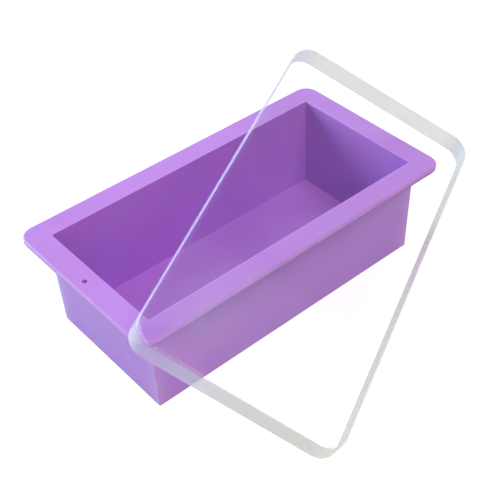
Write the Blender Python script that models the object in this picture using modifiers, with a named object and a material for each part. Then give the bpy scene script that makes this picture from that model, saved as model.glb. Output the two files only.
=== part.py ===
"""Soap loaf mould with a clear lid.

Two pieces, as the real object has:
  mould_body  one-piece silicone loaf tray with a flat flange round its mouth
  clear_lid   thin clear cover with a down-turned skirt, lying tilted across
              the mould's near long edge

Units are metres. +Z is up, +X runs along the loaf, and the origin is at the
centre of the tray's flat underside. Run in Blender 4.5.
"""

import math

import bmesh
import bpy
from mathutils import Euler, Vector

MM = 0.001

# ---------------------------------------------------------------- dimensions
# silicone tray
FLANGE_L = 250.0 * MM        # overall length, along X
FLANGE_W = 133.2 * MM        # overall width, along Y
FLANGE_T = 4.5 * MM          # flange thickness
FLANGE_R = 10.0 * MM         # flange corner radius
RIM = 16.0 * MM              # flat rim from the outer edge to the cavity
HEIGHT = 73.7 * MM           # overall height of the tray
DEPTH = 70.2 * MM            # cavity depth, leaving a 3.5 mm floor
BODY_TOP = (223.4 * MM, 106.8 * MM)    # outer wall, at the flange's underside
BODY_BASE = (221.0 * MM, 104.6 * MM)   # outer wall, at the underside
CAVITY_TOP = (FLANGE_L - 2 * RIM, FLANGE_W - 2 * RIM)
CAVITY_FLOOR = (215.6 * MM, 99.2 * MM)
EDGE_R = 0.6 * MM            # small moulded radius on the tray's edges
HOLE_D = 3.4 * MM            # hanging hole through the flange
HOLE_X = -117.7 * MM
HOLE_Y = 1.2 * MM

# clear lid
LID_CLEARANCE = 0.5 * MM     # lid to flange, each side, when the lid is on
LID_WALL = 0.8 * MM
LID_SKIRT = 16.5 * MM        # skirt depth, outside
LID_R = 12.5 * MM            # outer corner radius of the skirt
LID_SHOULDER = 1.6 * MM      # rolled edge between panel and skirt
LID_DRAFT = 0.5 * MM         # the skirt leans out by this much at its free edge
LID_L = FLANGE_L + 2 * (LID_CLEARANCE + LID_WALL)
LID_W = FLANGE_W + 2 * (LID_CLEARANCE + LID_WALL)

# where the lid lies: centre of its panel's top face, and its turn about X, Y
# and Z in that order. Its panel rests on the near long edge of the flange.
LID_AT = (12.1 * MM, -65.3 * MM, HEIGHT + 7.05 * MM)
LID_ROLL = 27.1
LID_PITCH = -10.6
LID_YAW = 24.4


# ------------------------------------------------------------------- helpers
def clear_scene():
    for ob in list(bpy.data.objects):
        bpy.data.objects.remove(ob, do_unlink=True)
    for coll in list(bpy.data.collections):
        bpy.data.collections.remove(coll)


def new_collection(name):
    coll = bpy.data.collections.new(name)
    bpy.context.scene.collection.children.link(coll)
    return coll


def new_object(name, bm, coll, material=None):
    bmesh.ops.recalc_face_normals(bm, faces=bm.faces)
    mesh = bpy.data.meshes.new(name)
    bm.to_mesh(mesh)
    bm.free()
    ob = bpy.data.objects.new(name, mesh)
    coll.objects.link(ob)
    if material is not None:
        mesh.materials.append(material)
    return ob


def as_cutter(ob):
    ob.hide_render = True
    ob.display_type = "WIRE"


def box(length, width, z0, z1):
    """An upright box on the Z axis."""
    bm = bmesh.new()
    bmesh.ops.create_cube(bm, size=1.0)
    for v in bm.verts:
        v.co = Vector((v.co.x * length, v.co.y * width,
                       z0 if v.co.z < 0 else z1))
    return bm


def tapered(size_a, z_a, size_b, z_b, z0, z1):
    """A box from z0 to z1 whose plan size is size_a at z_a and size_b at z_b."""
    bm = box(1.0, 1.0, z0, z1)
    for v in bm.verts:
        k = (v.co.z - z_a) / (z_b - z_a)
        v.co.x *= size_a[0] + (size_b[0] - size_a[0]) * k
        v.co.y *= size_a[1] + (size_b[1] - size_a[1]) * k
    return bm


def round_upright_edges(bm, radius, segments):
    upright = [e for e in bm.edges
               if abs(e.verts[0].co.z - e.verts[1].co.z) > 1e-6
               and abs(e.verts[0].co.x - e.verts[1].co.x) < 1e-6
               and abs(e.verts[0].co.y - e.verts[1].co.y) < 1e-6]
    bmesh.ops.bevel(bm, geom=upright, offset=radius, offset_type="OFFSET",
                    segments=segments, profile=0.5, affect="EDGES",
                    clamp_overlap=False)


def add_boolean(ob, name, operation, other):
    mod = ob.modifiers.new(name, "BOOLEAN")
    mod.operation = operation
    mod.solver = "EXACT"
    mod.object = other


def add_bevel(ob, width, segments, angle):
    mod = ob.modifiers.new("edge_radius", "BEVEL")
    mod.width = width
    mod.segments = segments
    mod.limit_method = "ANGLE"
    mod.angle_limit = math.radians(angle)


def principled(name, colour, roughness, alpha=1.0, transmission=0.0, ior=1.45):
    mat = bpy.data.materials.new(name)
    mat.use_nodes = True
    bsdf = mat.node_tree.nodes["Principled BSDF"]
    bsdf.inputs["Base Color"].default_value = (*colour, 1.0)
    bsdf.inputs["Roughness"].default_value = roughness
    bsdf.inputs["Metallic"].default_value = 0.0
    bsdf.inputs["Alpha"].default_value = alpha
    bsdf.inputs["Transmission Weight"].default_value = transmission
    bsdf.inputs["IOR"].default_value = ior
    mat.diffuse_color = (*colour, alpha)
    return mat


# --------------------------------------------------------------- silicone tray
def build_mould(parts, cutters):
    silicone = principled("purple_silicone", (0.47, 0.27, 0.78), 0.42, ior=1.41)

    bm = box(FLANGE_L, FLANGE_W, HEIGHT - FLANGE_T, HEIGHT)
    round_upright_edges(bm, FLANGE_R, 8)
    mould = new_object("mould_body", bm, parts, silicone)

    # the walls run up inside the flange, so the two fuse without a seam
    walls = new_object("mould_walls", tapered(
        BODY_BASE, 0.0, BODY_TOP, HEIGHT - FLANGE_T, 0.0, HEIGHT - 1.5 * MM), cutters)
    cavity = new_object("mould_cavity", tapered(
        CAVITY_FLOOR, HEIGHT - DEPTH, CAVITY_TOP, HEIGHT,
        HEIGHT - DEPTH, HEIGHT + 6.0 * MM), cutters)

    bm = bmesh.new()
    bmesh.ops.create_cone(bm, cap_ends=True, segments=20, radius1=HOLE_D / 2,
                          radius2=HOLE_D / 2, depth=FLANGE_T + 8.0 * MM)
    hole = new_object("mould_hole", bm, cutters)
    hole.location = (HOLE_X, HOLE_Y, HEIGHT - FLANGE_T / 2)

    for ob in (walls, cavity, hole):
        as_cutter(ob)
    add_boolean(mould, "walls", "UNION", walls)
    add_boolean(mould, "cavity", "DIFFERENCE", cavity)
    add_boolean(mould, "hanging_hole", "DIFFERENCE", hole)
    add_bevel(mould, EDGE_R, 2, 40.0)
    return mould


# ------------------------------------------------------------------- clear lid
def build_lid(parts):
    clear = principled("clear_plastic", (0.93, 0.94, 0.96), 0.08, alpha=0.3,
                       transmission=1.0, ior=1.5)

    bm = box(LID_L, LID_W, -LID_SKIRT, 0.0)
    round_upright_edges(bm, LID_R, 7)
    # draft: the free edge stands out a little all round
    for v in bm.verts:
        if v.co.z < -LID_SKIRT / 2:
            out = Vector((v.co.x / (LID_L / 2), v.co.y / (LID_W / 2), 0.0))
            v.co.x += math.copysign(LID_DRAFT, v.co.x) * min(1.0, abs(out.x))
            v.co.y += math.copysign(LID_DRAFT, v.co.y) * min(1.0, abs(out.y))
    top = [e for e in bm.edges
           if e.verts[0].co.z > -1e-6 and e.verts[1].co.z > -1e-6
           and len(e.link_faces) == 2]
    bmesh.ops.bevel(bm, geom=top, offset=LID_SHOULDER, offset_type="OFFSET",
                    segments=3, profile=0.5, affect="EDGES", clamp_overlap=False)
    base = [f for f in bm.faces if max(v.co.z for v in f.verts) < -LID_SKIRT + 1e-6]
    bmesh.ops.delete(bm, geom=base, context="FACES")
    lid = new_object("clear_lid", bm, parts, clear)

    wall = lid.modifiers.new("wall", "SOLIDIFY")
    wall.thickness = LID_WALL
    wall.offset = -1.0
    wall.use_even_offset = True
    wall.use_quality_normals = True

    lid.location = LID_AT
    lid.rotation_mode = "XYZ"
    lid.rotation_euler = Euler((math.radians(LID_ROLL), math.radians(LID_PITCH),
                                math.radians(LID_YAW)), "XYZ")
    return lid


def main():
    clear_scene()
    parts = new_collection("soap_loaf_mould")
    cutters = new_collection("cutters")
    build_mould(parts, cutters)
    build_lid(parts)
    bpy.context.view_layer.update()


main()
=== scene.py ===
import math

import bpy
import bmesh
from mathutils import Euler, Matrix, Vector


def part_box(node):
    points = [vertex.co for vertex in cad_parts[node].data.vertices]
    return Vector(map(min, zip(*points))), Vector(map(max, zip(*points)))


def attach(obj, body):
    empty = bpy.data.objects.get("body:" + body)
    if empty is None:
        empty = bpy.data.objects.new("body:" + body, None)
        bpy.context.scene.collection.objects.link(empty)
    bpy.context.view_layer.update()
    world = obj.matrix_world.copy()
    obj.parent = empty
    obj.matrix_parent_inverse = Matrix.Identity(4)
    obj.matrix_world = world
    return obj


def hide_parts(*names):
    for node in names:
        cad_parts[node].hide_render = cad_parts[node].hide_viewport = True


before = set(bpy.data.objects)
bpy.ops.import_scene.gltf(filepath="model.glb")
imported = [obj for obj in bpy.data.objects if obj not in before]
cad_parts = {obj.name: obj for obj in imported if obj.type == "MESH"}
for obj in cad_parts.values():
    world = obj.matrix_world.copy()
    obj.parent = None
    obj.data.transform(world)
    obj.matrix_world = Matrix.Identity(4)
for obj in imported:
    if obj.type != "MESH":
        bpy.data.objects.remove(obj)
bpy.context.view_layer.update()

MM = 0.001

# ------------------------------------------------------------------ sizes
# the tray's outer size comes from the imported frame; section sizes repeat part.py
T_LO, T_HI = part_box("mould_body")
L = T_HI.x - T_LO.x
W = T_HI.y - T_LO.y
H = T_HI.z
FLANGE_T = 4.5 * MM
FLANGE_R = 10.0 * MM
RIM = 16.0 * MM
DEPTH = 70.2 * MM
BODY_TOP = (223.4 * MM, 106.8 * MM)
BODY_BASE = (221.0 * MM, 104.6 * MM)
CAVITY_FLOOR = (215.6 * MM, 99.2 * MM)
HOLE_D, HOLE_X, HOLE_Y = 3.1 * MM, -117.7 * MM, 1.2 * MM

LID_L = L + 2.6 * MM
LID_W = W + 2.6 * MM
LID_WALL = 0.8 * MM
LID_SKIRT = 16.5 * MM
LID_SHOULDER = 1.6 * MM
LID_DRAFT = 0.5 * MM
LID_AT = Vector((12.1 * MM, -65.3 * MM, H + 7.05 * MM))
LID_TURN = Euler((math.radians(27.1), math.radians(-10.6), math.radians(24.4)), "XYZ")
LID_M = Matrix.Translation(LID_AT) @ LID_TURN.to_matrix().to_4x4()


# ---------------------------------------------------------------- camera
def make_camera():
    cam = bpy.data.cameras.new("camera")
    ob = bpy.data.objects.new("camera", cam)
    bpy.context.scene.collection.objects.link(ob)
    right = Vector((0.74722, -0.6642, -0.02233))
    down = Vector((-0.45233, -0.48368, -0.7493))
    ahead = Vector((0.48689, 0.56999, -0.66185))
    rot = Matrix((right, -down, -ahead)).transposed()
    ob.matrix_world = Matrix.Translation(Vector((-0.32326, -0.40883, 0.49029))) @ rot.to_4x4()
    cam.sensor_fit = "AUTO"
    cam.sensor_width = 36.0
    cam.lens = 1024.78 * 36.0 / 500.0
    cam.shift_x = -20.65 / 500.0
    cam.shift_y = -3.77 / 500.0
    cam.clip_start, cam.clip_end = 0.01, 50.0
    bpy.context.scene.camera = ob


# ------------------------------------------------------- lofted ring meshes
def ring(hx, hy, r, z, n_long, n_short, n_arc):
    """Points round a rounded rectangle, the same count whatever its size."""
    r = max(r, 1e-5)
    corners = ((hx - r, hy - r, 0), (-(hx - r), hy - r, 90),
               (-(hx - r), -(hy - r), 180), (hx - r, -(hy - r), 270))
    pts = []
    for k, (cx, cy, a0) in enumerate(corners):
        arc = []
        for i in range(n_arc + 1):
            a = math.radians(a0 + 90.0 * i / n_arc)
            arc.append(Vector((cx + r * math.cos(a), cy + r * math.sin(a), z)))
        pts.extend(arc)
        nx, ny, na = corners[(k + 1) % 4]
        a = math.radians(na)
        start = Vector((nx + r * math.cos(a), ny + r * math.sin(a), z))
        n = n_long if k % 2 == 0 else n_short
        for i in range(1, n):
            pts.append(arc[-1].lerp(start, i / n))
    return pts


def loft(rings, cap_first=True, cap_last=True):
    bm = bmesh.new()
    rows = [[bm.verts.new(p) for p in pts] for pts in rings]
    n = len(rows[0])
    for a, b in zip(rows, rows[1:]):
        for i in range(n):
            j = (i + 1) % n
            bm.faces.new((a[i], a[j], b[j], b[i]))
    if cap_first:
        bm.faces.new(list(reversed(rows[0])))
    if cap_last:
        bm.faces.new(rows[-1])
    bmesh.ops.recalc_face_normals(bm, faces=bm.faces)
    return bm, rows


def fillet(c_in, z_in, r, a0, a1, n):
    """(offset, z) points on an arc about (c_in, z_in)."""
    out = []
    for i in range(n + 1):
        a = math.radians(a0 + (a1 - a0) * i / n)
        out.append((c_in + r * math.cos(a), z_in + r * math.sin(a)))
    return out


def smooth(ob, angle=35.0):
    ob.data.shade_smooth()
    ob.data.set_sharp_from_angle(angle=math.radians(angle))


def new_object(name, bm, mat):
    me = bpy.data.meshes.new(name)
    bm.to_mesh(me)
    bm.free()
    me.materials.append(mat)
    ob = bpy.data.objects.new(name, me)
    bpy.context.scene.collection.objects.link(ob)
    return ob


# ------------------------------------------------------------- node helpers
class Nodes:
    def __init__(self, name):
        self.mat = bpy.data.materials.new(name)
        self.mat.use_nodes = True
        self.t = self.mat.node_tree
        self.t.nodes.clear()

    def add(self, kind, **props):
        n = self.t.nodes.new(kind)
        for k, v in props.items():
            if k.startswith("_"):
                setattr(n, k[1:], v)
        for k, v in props.items():
            if not k.startswith("_"):
                n.inputs[k.replace("__", " ")].default_value = v
        return n

    def link(self, a, b):
        self.t.links.new(a, b)

    def math(self, op, a, b=None, clamp=False):
        n = self.t.nodes.new("ShaderNodeMath")
        n.operation = op
        n.use_clamp = clamp
        for i, v in enumerate((a, b)):
            if v is None:
                continue
            if isinstance(v, (int, float)):
                n.inputs[i].default_value = v
            else:
                self.link(v, n.inputs[i])
        return n.outputs[0]

    def mapr(self, src, a, b, c, d, smoothstep=False):
        n = self.t.nodes.new("ShaderNodeMapRange")
        n.interpolation_type = "SMOOTHSTEP" if smoothstep else "LINEAR"
        self.link(src, n.inputs["Value"])
        for k, v in (("From Min", a), ("From Max", b), ("To Min", c), ("To Max", d)):
            n.inputs[k].default_value = v
        return n.outputs["Result"]

    def mix_rgb(self, fac, a, b):
        n = self.t.nodes.new("ShaderNodeMix")
        n.data_type = "RGBA"
        if isinstance(fac, (int, float)):
            n.inputs["Factor"].default_value = fac
        else:
            self.link(fac, n.inputs["Factor"])
        for slot, v in ((6, a), (7, b)):
            if isinstance(v, tuple):
                n.inputs[slot].default_value = (*v, 1.0)
            else:
                self.link(v, n.inputs[slot])
        return n.outputs[2]

    def noise(self, vec, scale, detail=2.0, rough=0.5, dist=0.0):
        n = self.t.nodes.new("ShaderNodeTexNoise")
        n.noise_dimensions = "3D"
        self.link(vec, n.inputs["Vector"])
        n.inputs["Scale"].default_value = scale
        n.inputs["Detail"].default_value = detail
        n.inputs["Roughness"].default_value = rough
        n.inputs["Distortion"].default_value = dist
        return n.outputs["Fac"]


# ---------------------------------------------------------------- materials
def silicone():
    k = Nodes("purple_silicone")
    co = k.t.nodes.new("ShaderNodeTexCoord").outputs["Object"]
    cloud = k.noise(co, 22.0, 3.0, 0.55)
    speck = k.noise(co, 900.0, 2.0, 0.6)
    base = k.mix_rgb(k.mapr(cloud, 0.35, 0.65, 0.0, 1.0),
                     (0.395, 0.165, 0.640), (0.425, 0.182, 0.680))
    base = k.mix_rgb(k.mapr(speck, 0.66, 0.80, 0.0, 0.35), base, (0.52, 0.32, 0.74))
    # painted highlight: the edge attribute paints edges and upright corners paler, and also makes them smoother than
    # the flats
    edge = k.add("ShaderNodeAttribute", _attribute_name="edge").outputs["Fac"]
    edge = k.math("MULTIPLY", edge, k.mapr(k.noise(co, 120.0, 2.0, 0.5), 0.3, 0.7, 0.75, 1.0))
    base = k.mix_rgb(k.math("MULTIPLY", edge, 0.55), base, (0.66, 0.42, 0.88))
    # slow drift between a pinker and a bluer purple, and painted shade along the
    # low edges: a painted contact shadow at the base edge and painted shade under the flange
    drift = k.noise(co, 55.0, 2.0, 0.5)
    base = k.mix_rgb(k.mapr(drift, 0.50, 0.72, 0.0, 0.35), base, (0.45, 0.165, 0.62))
    base = k.mix_rgb(k.mapr(drift, 0.50, 0.28, 0.0, 0.35), base, (0.365, 0.175, 0.71))
    shade = k.add("ShaderNodeAttribute", _attribute_name="shade").outputs["Fac"]
    base = k.mix_rgb(k.math("MULTIPLY", shade, 0.75), base, (0.16, 0.07, 0.30))
    rough = k.math("ADD", k.mapr(cloud, 0.3, 0.7, 0.40, 0.47),
                   k.mapr(k.noise(co, 160.0, 3.0, 0.6), 0.3, 0.7, -0.03, 0.04))
    rough = k.math("SUBTRACT", rough, k.math("MULTIPLY", edge, 0.18))
    fine = k.noise(co, 2600.0, 2.0, 0.5)
    slow = k.noise(co, 34.0, 2.0, 0.5)
    b1 = k.add("ShaderNodeBump", Strength=0.12, Distance=0.00004)
    k.link(fine, b1.inputs["Height"])
    b2 = k.add("ShaderNodeBump", Strength=0.25, Distance=0.0003)
    k.link(slow, b2.inputs["Height"])
    k.link(b1.outputs[0], b2.inputs["Normal"])
    p = k.add("ShaderNodeBsdfPrincipled")
    k.link(base, p.inputs["Base Color"])
    k.link(rough, p.inputs["Roughness"])
    k.link(b2.outputs[0], p.inputs["Normal"])
    p.inputs["IOR"].default_value = 1.43
    p.inputs["Subsurface Weight"].default_value = 0.06
    p.inputs["Subsurface Radius"].default_value = (1.0, 0.45, 0.9)
    p.inputs["Subsurface Scale"].default_value = 0.0012
    out = k.add("ShaderNodeOutputMaterial")
    k.link(p.outputs[0], out.inputs["Surface"])
    return k.mat


def clear_plastic():
    """A thin clear sheet: what is behind it, a gloss by angle, and a haze on
    the drawn skirt and folds, from the mesh's "haze" and "veil" attributes. The haze's colour carries painted
    reflection, painted highlight and painted shade."""
    k = Nodes("clear_plastic")
    co = k.t.nodes.new("ShaderNodeTexCoord").outputs["Object"]
    skirt = k.add("ShaderNodeAttribute", _attribute_name="skirt").outputs["Fac"]
    amount = k.add("ShaderNodeAttribute", _attribute_name="haze").outputs["Fac"]
    veil = k.add("ShaderNodeAttribute", _attribute_name="veil").outputs["Color"]
    wave = k.noise(co, 26.0, 2.0, 0.5)
    fine = k.noise(co, 240.0, 3.0, 0.6)

    bump = k.add("ShaderNodeBump", Strength=0.02, Distance=0.0001)
    k.link(wave, bump.inputs["Height"])

    clear = k.add("ShaderNodeBsdfTransparent")
    k.link(k.mix_rgb(skirt, (0.997, 0.997, 0.998), (0.95, 0.95, 0.955)), clear.inputs["Color"])
    gloss = k.add("ShaderNodeBsdfGlossy", Color=(0.95, 0.96, 1.0, 1.0))
    k.link(k.math("ADD", k.mapr(fine, 0.3, 0.7, 0.05, 0.09),
                  k.math("MULTIPLY", skirt, 0.18)), gloss.inputs["Roughness"])
    k.link(bump.outputs[0], gloss.inputs["Normal"])
    facing = k.add("ShaderNodeLayerWeight", Blend=0.5).outputs["Facing"]
    fres = k.math("ADD", k.math("MULTIPLY", k.math("POWER", facing, 5.0), 0.40), 0.035)
    dull = k.add("ShaderNodeAttribute", _attribute_name="dull").outputs["Fac"]
    fres = k.math("MULTIPLY", fres, k.mapr(dull, 0.0, 1.0, 1.0, 0.08))
    m1 = k.t.nodes.new("ShaderNodeMixShader")
    k.link(fres, m1.inputs[0])
    k.link(clear.outputs[0], m1.inputs[1])
    k.link(gloss.outputs[0], m1.inputs[2])

    haze = k.add("ShaderNodeBsdfPrincipled")
    k.link(veil, haze.inputs["Base Color"])
    haze.inputs["Roughness"].default_value = 0.35
    haze.inputs["IOR"].default_value = 1.5
    k.link(bump.outputs[0], haze.inputs["Normal"])
    h = k.math("MULTIPLY", amount, k.mapr(wave, 0.3, 0.7, 0.95, 1.05), clamp=True)
    m2 = k.t.nodes.new("ShaderNodeMixShader")
    k.link(h, m2.inputs[0])
    k.link(m1.outputs[0], m2.inputs[1])
    k.link(haze.outputs[0], m2.inputs[2])
    out = k.add("ShaderNodeOutputMaterial")
    k.link(m2.outputs[0], out.inputs["Surface"])
    return k.mat


def pale_floor():
    """A pale floor that the camera sees as near white, with a faint shadow."""
    k = Nodes("pale_floor")
    near = k.add("ShaderNodeBsdfPrincipled")
    near.inputs["Base Color"].default_value = (0.45, 0.45, 0.45, 1.0)
    near.inputs["Roughness"].default_value = 0.6
    near.inputs["Specular IOR Level"].default_value = 0.2
    near.inputs["Emission Color"].default_value = (0.75, 1.0, 1.0, 1.0)
    near.inputs["Emission Strength"].default_value = 0.453
    near.name = "bounce"
    seen = k.add("ShaderNodeBsdfPrincipled")
    seen.inputs["Base Color"].default_value = (0.20, 0.20, 0.20, 1.0)
    seen.inputs["Roughness"].default_value = 0.6
    seen.inputs["Specular IOR Level"].default_value = 0.1
    seen.inputs["Emission Color"].default_value = (1.0, 1.0, 1.0, 1.0)
    seen.inputs["Emission Strength"].default_value = 0.90
    seen.name = "seen"
    path = k.t.nodes.new("ShaderNodeLightPath")
    mix = k.t.nodes.new("ShaderNodeMixShader")
    k.link(path.outputs["Is Camera Ray"], mix.inputs[0])
    k.link(near.outputs[0], mix.inputs[1])
    k.link(seen.outputs[0], mix.inputs[2])
    out = k.add("ShaderNodeOutputMaterial")
    k.link(mix.outputs[0], out.inputs["Surface"])
    return k.mat


# ------------------------------------------------------------ silicone tray
def bow(p):
    """How far a soft wall leans in at p, as a real silicone tray does."""
    out = Vector(p)
    hx, hy = L / 2, W / 2
    u, v, k = p.x / hx, p.y / hy, max(0.0, min(1.0, p.z / H))
    up = 4.0 * k * (1.0 - k)
    along_x = max(0.0, 1.0 - u * u)
    along_y = max(0.0, 1.0 - v * v)
    out.y -= v * along_x * (0.10 + 0.35 * up) * MM
    out.x -= u * along_y * (0.06 + 0.25 * up) * MM
    return out


def tray(mat):
    n_long, n_short, n_arc = 30, 18, 10
    hx, hy = L / 2, W / 2
    top, under = H, H - FLANGE_T
    e_top, e_low = 1.1 * MM, 1.4 * MM       # flange edge rounding
    prof = []                                 # (hx, hy, corner r, z, edge, shade, zone)

    def add(a, b, r, z, edge=0.0, shade=0.0, zone=""):
        prof.append((a, b, r, z, edge, shade, zone))

    def wall_size(z):
        t = z / under
        return (BODY_BASE[0] / 2 + (BODY_TOP[0] - BODY_BASE[0]) / 2 * t,
                BODY_BASE[1] / 2 + (BODY_TOP[1] - BODY_BASE[1]) / 2 * t)

    # underside, then the base edge, darkened by painted shade as a contact shadow
    rb, wr = 0.5 * MM, 0.8 * MM
    bx, by = wall_size(0.0)
    for d in (30.0, 12.0, 4.0, 1.6):
        add(bx - d * MM, by - d * MM, wr, 0.0)
    for off, z in fillet(-rb, rb, rb, -90, 0, 5):
        add(bx + off, by + off, wr, z, 0.0, 0.9, "wall")
    # outer wall, its lowest row darkened a little by the same painted shade
    for z in (0.9, 1.6, 3.0, 10.0, 20.0, 32.0, 44.0, 55.0, 62.0, 66.0, 67.2):
        a, b = wall_size(z * MM)
        add(a, b, wr, z * MM, 0.0, 0.35 if z < 1.0 else 0.0, "wall")
    # inside corner under the flange
    rf = 1.2 * MM
    tx, ty = wall_size(under)
    for off, z in fillet(rf, under - rf, rf, 180, 90, 5):
        add(tx + off, ty + off, wr + max(0.0, off), z)
    for s in (0.15, 0.5, 0.85, 0.95):
        add(tx + rf + (hx - e_low - tx - rf) * s, ty + rf + (hy - e_low - ty - rf) * s,
            wr + rf + (FLANGE_R - e_low - wr - rf) * s, under)
    # flange edge, low and top rounding with a plain band between; the low rounding and the band carry painted shade,
    # the band and the top rounding a painted highlight
    for off, z in fillet(-e_low, under + e_low, e_low, -90, 0, 6):
        add(hx + off, hy + off, FLANGE_R + off, z, 0.0, 0.75)
    add(hx, hy, FLANGE_R, under + e_low + 0.4 * MM, 0.3, 0.35)
    add(hx, hy, FLANGE_R, top - e_top - 0.6 * MM, 0.6)
    for i, (off, z) in enumerate(fillet(-e_top, top - e_top, e_top, 0, 90, 7)):
        add(hx + off, hy + off, FLANGE_R + off, z, 0.75 * (1.0 - i / 9.0))
    # rim, then the cavity's edge, which carries a painted highlight
    ec = 0.4 * MM
    cx, cy, cr = hx - RIM, hy - RIM, 0.35 * MM
    for s in (0.03, 0.2, 0.5, 0.8, 0.97):
        a = hx - e_top + (cx + ec - hx + e_top) * s
        b = hy - e_top + (cy + ec - hy + e_top) * s
        add(a, b, FLANGE_R - e_top + (cr + ec - FLANGE_R + e_top) * s, top)
    for i, (off, z) in enumerate(fillet(ec, top - ec, ec, 90, 180, 6)):
        add(cx + off, cy + off, cr + off, z, max(0.0, 1.0 - i / 3.5), 0.0, "mouth")
    # cavity wall
    floor = H - DEPTH
    fx, fy = CAVITY_FLOOR[0] / 2, CAVITY_FLOOR[1] / 2

    def cav(z):
        t = (z - floor) / (H - floor)
        return fx + (cx - fx) * t, fy + (cy - fy) * t

    rc = 0.3 * MM
    for z in (72.9, 70.0, 64.0, 54.0, 44.0, 34.0, 24.0, 14.0, 8.0, 4.4):
        a, b = cav(z * MM)
        add(a, b, cr, z * MM)
    for off, z in fillet(-rc, floor + rc, rc, 0, -90, 5):
        a, b = cav(floor + rc)
        add(a + off, b + off, max(0.05 * MM, cr + off * 0.8), z, 0.0)
    for d in (2.0, 5.0, 14.0, 30.0):
        add(fx - d * MM, fy - d * MM, cr * 0.3, floor)

    rings = [[bow(p) for p in ring(a, b, r, z, n_long, n_short, n_arc)]
             for a, b, r, z, *_ in prof]
    bm, _ = loft(rings)
    ob = new_object("silicone_tray", bm, mat)
    # the edge attribute is a painted highlight, paler toward the upright corners of the outer wall and brightest along
    # the near long side of the cavity's mouth
    edge = []
    for row, pts in zip(prof, rings):
        for p in pts:
            e = row[4]
            if row[6] == "wall":        # paler toward the upright corners
                d = max(row[0] - abs(p.x), row[1] - abs(p.y))
                e += 0.42 * max(0.0, 1.0 - d / (11.0 * MM)) + 0.3 * max(0.0, 1.0 - d / (2.0 * MM))
            elif row[6] == "mouth":     # brightest along the near long side
                e *= 1.0 if p.y < -(row[1] - 1.0 * MM) else 0.35
            edge.append(e)
    att = ob.data.attributes.new("edge", "FLOAT", "POINT")
    att.data.foreach_set("value", edge)
    att = ob.data.attributes.new("shade", "FLOAT", "POINT")
    att.data.foreach_set("value", [row[5] for row in prof for _ in range(len(rings[0]))])

    # the hanging hole, with softened lips
    bm = bmesh.new()
    stack = [(-2.0, 0.5), (0.0, 0.15), (0.06, 0.07), (0.2, 0.0), (0.4, 0.0),
             (FLANGE_T / MM - 0.4, 0.0), (FLANGE_T / MM - 0.2, 0.0),
             (FLANGE_T / MM - 0.06, 0.07), (FLANGE_T / MM, 0.15), (FLANGE_T / MM + 2.0, 0.5)]
    rows = []
    for z, extra in stack:
        r = HOLE_D / 2 + extra * MM
        rows.append([bm.verts.new((HOLE_X + r * math.cos(2 * math.pi * i / 40),
                                   HOLE_Y + r * math.sin(2 * math.pi * i / 40),
                                   under + z * MM)) for i in range(40)])
    for a, b in zip(rows, rows[1:]):
        for i in range(40):
            j = (i + 1) % 40
            bm.faces.new((a[i], a[j], b[j], b[i]))
    bm.faces.new(list(reversed(rows[0])))
    bm.faces.new(rows[-1])
    bmesh.ops.recalc_face_normals(bm, faces=bm.faces)
    me = bpy.data.meshes.new("hole_cutter")
    bm.to_mesh(me)
    bm.free()
    cutter = bpy.data.objects.new("hole_cutter", me)
    bpy.context.scene.collection.objects.link(cutter)
    mod = ob.modifiers.new("hole", "BOOLEAN")
    mod.operation, mod.solver, mod.object = "DIFFERENCE", "EXACT", cutter
    dg = bpy.context.evaluated_depsgraph_get()
    baked = bpy.data.meshes.new_from_object(ob.evaluated_get(dg))
    ob.modifiers.clear()
    ob.data = baked
    bpy.data.objects.remove(cutter)
    smooth(ob)
    return ob


# ---------------------------------------------------------------- clear lid
def step(a, b, t):
    """A smooth rise from 0 at a to 1 at b; b may be below a."""
    t = max(0.0, min(1.0, (t - a) / (b - a)))
    return t * t * (3.0 - 2.0 * t)


def blend(a, b, t):
    return tuple(x + (y - x) * t for x, y in zip(a, b))


# colour of the near skirt's haze across the lid, from its -Y end to its +Y end; the purple toward the +Y corner is a
# painted reflection of the tray, and the pale end a painted highlight
NEAR_VEIL_AND_REFLECTION = ((-1.0, (0.645, 0.585, 0.63)), (-0.5, (0.645, 0.585, 0.63)),
             (0.12, (0.67, 0.615, 0.75)), (0.47, (0.74, 0.63, 1.0)),
             (0.68, (0.64, 0.52, 0.96)), (0.84, (0.69, 0.42, 1.0)),
             (0.92, (0.92, 0.86, 1.0)), (1.0, (0.95, 0.93, 1.0)))


def along(stops, t):
    for (a, ca), (b, cb) in zip(stops, stops[1:]):
        if t <= b:
            return blend(ca, cb, max(0.0, (t - a) / (b - a)))
    return stops[-1][1]


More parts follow.
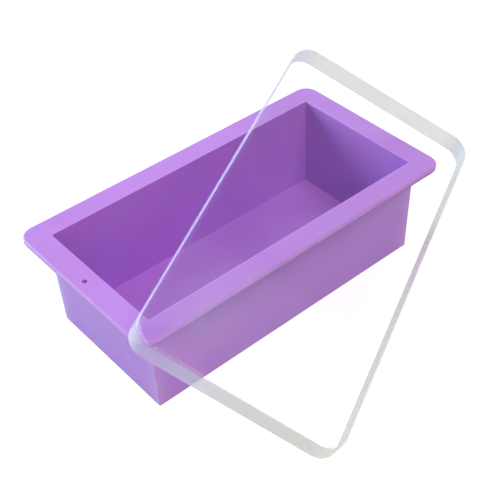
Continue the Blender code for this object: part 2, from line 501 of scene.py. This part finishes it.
def haze_and_painted_light(u, w, depth, skirt, fold, rim):
    """Haze, its colour and the loss of gloss at a point of the lid; the colour
    carries painted reflection, painted highlight and painted shade. u and w run
    from -1 to 1 along and across it, depth is below the panel, and skirt, fold
    and rim say how far the point is in each zone."""
    near, far = step(0.86, 0.97, -u), step(0.86, 0.97, u)
    left, right = step(0.76, 0.93, w), step(0.76, 0.93, -w)
    total = near + far + left + right
    # a faint painted reflection: grey haze on the panel toward the corner that hooks over the tray
    painted_panel_reflection = (0.002 + 0.050 * step(-0.30, -0.95, u) * step(0.05, 0.70, w)
            * (1.0 - 0.7 * step(0.70, 0.88, w)))
    if total < 1e-6:
        return painted_panel_reflection, (0.66, 0.74, 0.74), 0.0
    near, far, left, right = (x / total for x in (near, far, left, right))
    hook = step(0.72, 0.9, w)
    corner = step(0.80, 1.0, u) * step(0.70, 0.95, -w)
    body = (near * (0.42 - 0.09 * hook) + far * 0.20 + left * 0.26
            + right * 0.24 + 0.10 * corner)
    # a painted highlight line where the near skirt leaves the shoulder
    body += 0.16 * near * step(0.9 * MM, 1.5 * MM, depth) * (1.0 - step(1.6 * MM, 2.3 * MM, depth))
    # round the corner that hooks over the tray the shoulder stays clear
    body *= 1.0 - step(0.80, 0.92, w) * near * (1.0 - step(0.8 * MM, 3.2 * MM, depth))
    # painted light in the haze colours per side: the near skirt's purple is a painted reflection of the tray, the left
    # side's blue a painted reflection, and the right side's darkening toward its +X end a painted shade
    tint = [near * a + far * b + left * c + right * d for a, b, c, d in zip(
        along(NEAR_VEIL_AND_REFLECTION, w), (0.64, 0.63, 0.53), (0.66, 0.60, 1.0),
        blend((0.61, 0.58, 0.54), (0.33, 0.335, 0.33), step(0.1, 0.75, u)))]
    # painted reflection: a bluish tint in the corner
    tint = blend(tint, (0.56, 0.57, 0.78), corner)
    # the left fold's heavy haze, in a bluish lavender, is a painted highlight line
    crease = near * (0.02 + 0.10 * hook) + far * 0.04 + left * (0.62 + 0.16 * step(-0.2, 0.7, u)) + right * 0.05
    h = max(body * skirt, crease * fold, 0.30 * rim)
    left_fold_highlight = blend((0.53, 0.40, 0.92), (0.36, 0.30, 0.44), step(0.1, 0.7, u))
    dull = (1.0 - left) * (1.0 - step(0.88, 0.96, w)) if skirt < 0.99 else 0.0
    return max(h, painted_panel_reflection), blend(tint, left_fold_highlight, min(1.0, left * fold)), dull


def lid(mat):
    n_long, n_short, n_arc = 36, 22, 16
    hx, hy = LID_L / 2, LID_W / 2
    r_top, r_edge = 14.2 * MM, 12.7 * MM
    s = LID_SHOULDER
    crease = (0.0, 0.1, 0.35, 0.75, 1.0, 1.0, 0.8, 0.4, 0.1)    # panel to skirt
    prof = []          # hx, hy, r, z, skirt, fold, free edge

    def side(z):
        t = max(0.0, min(1.0, -z / LID_SKIRT))
        return t * LID_DRAFT, r_top + (r_edge - r_top) * t

    def zone(z):
        """0 on the panel, 1 on the skirt"""
        return max(0.0, min(1.0, (-z - 0.3 * MM) / (1.5 * MM)))

    # outside: panel, shoulder, skirt
    for d in (45.0, 25.0, 12.0, 6.0, 3.0, 2.0):
        prof.append((hx - s - d * MM, hy - s - d * MM, max(2 * MM, r_top - s - d * MM * 0.6), 0.0, 0.0, 0.0, 0.0))
    for i, (off, z) in enumerate(fillet(-s, -s, s, 90, 0, 8)):
        g, r = side(z)
        prof.append((hx + off + g, hy + off + g, r + off, z, zone(z), crease[i], 0.0))
    for z in (-2.2, -3.5, -6.0, -9.0, -12.0, -14.5, -15.7):
        g, r = side(z * MM)
        prof.append((hx + g, hy + g, r, z * MM, 1.0, 0.0, 0.0))
    # free edge, a full round of the wall
    t = LID_WALL / 2
    for off, z in fillet(-t, -LID_SKIRT + t, t, 0, -180, 8):
        g, r = side(z)
        prof.append((hx + off + g, hy + off + g, r + off, z, 1.0, 0.0, 1.0))
    # inside: skirt, shoulder, panel
    for z in (-15.7, -14.5, -12.0, -9.0, -6.0, -3.5, -2.2):
        g, r = side(z * MM)
        prof.append((hx + g - LID_WALL, hy + g - LID_WALL, r - LID_WALL, z * MM, 1.0, 0.0, 0.0))
    si = s - LID_WALL
    for i, (off, z) in enumerate(fillet(-s, -s, si, 0, 90, 8)):
        g, r = side(z)
        prof.append((hx + off + g, hy + off + g, r + off, z, zone(z), crease[8 - i], 0.0))
    for d in (2.0, 3.0, 6.0, 12.0, 25.0, 45.0):
        prof.append((hx - s - d * MM, hy - s - d * MM, max(2 * MM, r_top - s - d * MM * 0.6), -LID_WALL, 0.0, 0.0, 0.0))

    rings = [[LID_M @ p for p in ring(row[0], row[1], row[2], row[3], n_long, n_short, n_arc)]
             for row in prof]
    bm, _ = loft(rings)
    ob = new_object("lid_shell", bm, mat)
    per = len(rings[0])
    zones = [row[4:7] for row in prof for _ in range(per)]
    back = LID_M.inverted()
    haze, veil, dull = [], [], []
    for v, (sk, fo, ri) in zip(ob.data.vertices, zones):
        q = back @ v.co
        h, c, d = haze_and_painted_light(q.x / hx, q.y / hy, -q.z, sk, fo, ri)
        haze.append(h)
        dull.append(d)
        veil.extend((*c, 1.0))
    att = ob.data.attributes.new("skirt", "FLOAT", "POINT")
    att.data.foreach_set("value", [z[0] for z in zones])
    att = ob.data.attributes.new("haze", "FLOAT", "POINT")
    att.data.foreach_set("value", haze)
    att = ob.data.attributes.new("dull", "FLOAT", "POINT")
    att.data.foreach_set("value", dull)
    att = ob.data.attributes.new("veil", "FLOAT_COLOR", "POINT")
    att.data.foreach_set("color", veil)
    smooth(ob)
    return ob


# ------------------------------------------------------------------- stage
def area(name, azimuth, elevation, size, power, distance=1.5):
    """A square soft box aimed at the object; azimuth 0 is in front of it, on -Y."""
    a, e = math.radians(azimuth), math.radians(elevation)
    aim = Vector((0.0, 0.0, 0.05))
    at = aim + Vector((math.sin(a) * math.cos(e), -math.cos(a) * math.cos(e),
                       math.sin(e))) * distance
    d = bpy.data.lights.new(name, "AREA")
    d.shape, d.size = "SQUARE", size
    d.energy = max(power)
    d.color = [c / max(power) for c in power]
    ob = bpy.data.objects.new(name, d)
    bpy.context.scene.collection.objects.link(ob)
    ob.location = at
    ob.rotation_euler = (aim - at).to_track_quat("-Z", "Y").to_euler()
    return ob


def stage():
    bm = bmesh.new()
    bmesh.ops.create_grid(bm, x_segments=1, y_segments=1, size=12.0)
    floor = new_object("floor", bm, pale_floor())

    # a dim room, with a white backdrop where the camera sees past the floor
    world = bpy.data.worlds.new("studio")
    world.use_nodes = True
    t = world.node_tree
    dim = t.nodes["Background"]
    dim.inputs["Color"].default_value = (0.90, 0.93, 1.0, 1.0)
    dim.inputs["Strength"].default_value = 0.0
    white = t.nodes.new("ShaderNodeBackground")
    white.inputs["Color"].default_value = (1.0, 1.0, 1.0, 1.0)
    white.inputs["Strength"].default_value = 1.0
    path = t.nodes.new("ShaderNodeLightPath")
    shine = t.nodes.new("ShaderNodeBackground")
    shine.name = "shine"
    shine.inputs["Color"].default_value = (0.92, 0.80, 1.0, 1.0)
    shine.inputs["Strength"].default_value = 0.19
    soft = t.nodes.new("ShaderNodeMixShader")
    t.links.new(path.outputs["Is Glossy Ray"], soft.inputs[0])
    t.links.new(dim.outputs[0], soft.inputs[1])
    t.links.new(shine.outputs[0], soft.inputs[2])
    mix = t.nodes.new("ShaderNodeMixShader")
    t.links.new(path.outputs["Is Camera Ray"], mix.inputs[0])
    t.links.new(soft.outputs[0], mix.inputs[1])
    t.links.new(white.outputs[0], mix.inputs[2])
    t.links.new(mix.outputs[0], t.nodes["World Output"].inputs["Surface"])
    bpy.context.scene.world = world

    area("front_top", 0, 65, 0.9, (11.0, 10.3, 9.6))
    area("front_high", 0, 50, 0.9, (8.1, 6.6, 5.0))
    area("front_left_high", 330, 50, 0.9, (1.2, 0.6, 0.1))
    area("front_right_high", 30, 60, 0.9, (0.8, 0.9, 1.4))
    area("back_right_high", 135, 50, 0.9, (6.2, 8.0, 7.4))
    area("back_low", 200, 18, 0.9, (22.1, 27.4, 27.1))
    area("back_left_low", 225, 18, 0.9, (2.9, 6.0, 5.0))
    area("left_soft", 270, 40, 0.9, (1.1, 1.5, 0.4))
    area("right_soft", 90, 40, 0.9, (0.6, 0.4, 0.6))
    area("left_low", 315, 18, 0.9, (3.5, 3.2, 2.0))
    view = bpy.context.scene.view_settings
    view.view_transform, view.look = "Standard", "None"


make_camera()
tray_ob = tray(silicone())
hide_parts("mould_body")
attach(tray_ob, "mould")
lid_ob = lid(clear_plastic())
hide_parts("clear_lid")
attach(lid_ob, "lid")
stage()
